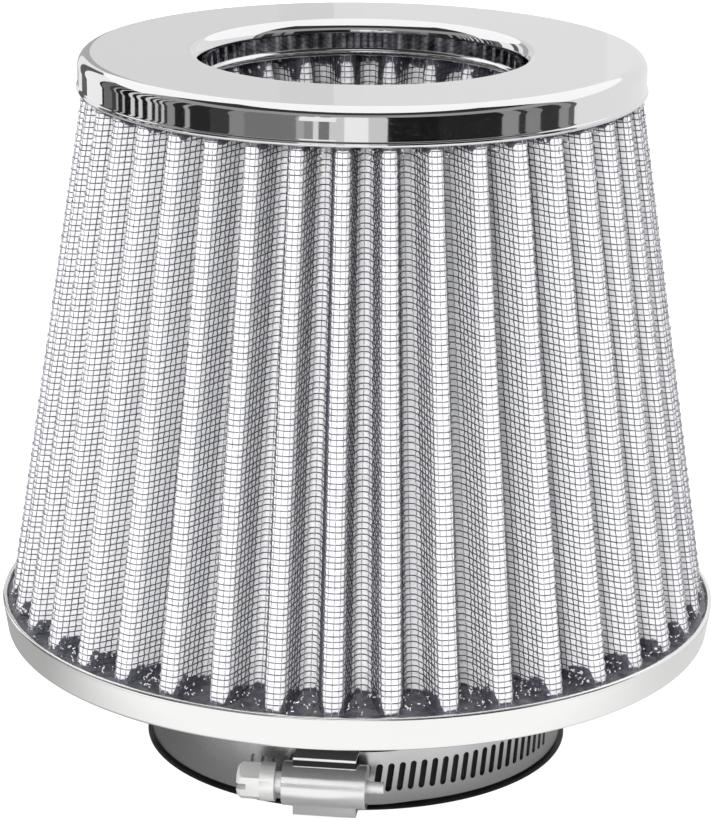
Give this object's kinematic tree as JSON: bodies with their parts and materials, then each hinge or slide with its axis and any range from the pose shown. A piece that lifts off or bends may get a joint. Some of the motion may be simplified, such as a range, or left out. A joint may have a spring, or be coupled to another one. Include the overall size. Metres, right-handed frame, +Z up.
{
  "type": "cone air filter",
  "caption": "Tapered pleated air filter with an open inverted inner cone, chromed cap and base ring, rubber neck and a worm-drive clamp that grips the intake pipe.",
  "frame": {"origin": "centre of the neck's lower end", "axes": "+Z up the filter's axis, from the neck to the cap; -Y is the front, where the clamp's housing sits"},
  "size_m": [0.15, 0.15, 0.1475],
  "materials": {
    "rubber": "satin black moulded rubber",
    "ring_steel": "polished",
    "screen_wire": "woven bright wire",
    "medium": "light filter cloth",
    "cap_chrome": "mirror chrome",
    "potting": "dark grey cast polyurethane",
    "clamp_steel": "bright stainless strip",
    "screw_steel": "zinc plated"
  },
  "bodies": {
    "filter": {"rubber_base": "rubber", "base_ring": "ring_steel", "cone_outer_screen": "screen_wire", "cone_media": "medium", "cone_inner_screen": "screen_wire", "top_cap": "cap_chrome", "top_potting": "potting", "inner_cone_facing_screen": "screen_wire", "inner_cone_media": "medium", "inner_cone_back_screen": "screen_wire", "inner_cone_disc": "potting", "clamp_band": "clamp_steel", "clamp_housing": "clamp_steel"},
    "screw": {"clamp_screw": "screw_steel"}
  },
  "joints": [
    {"name": "clamp_screw_turn", "type": "hinge", "parent": "filter", "child": "screw", "pos_m": [-0.00602, -0.04762, 0.0069], "axis": [0.9921, -0.1253, 0], "continuous": true}
  ]
}
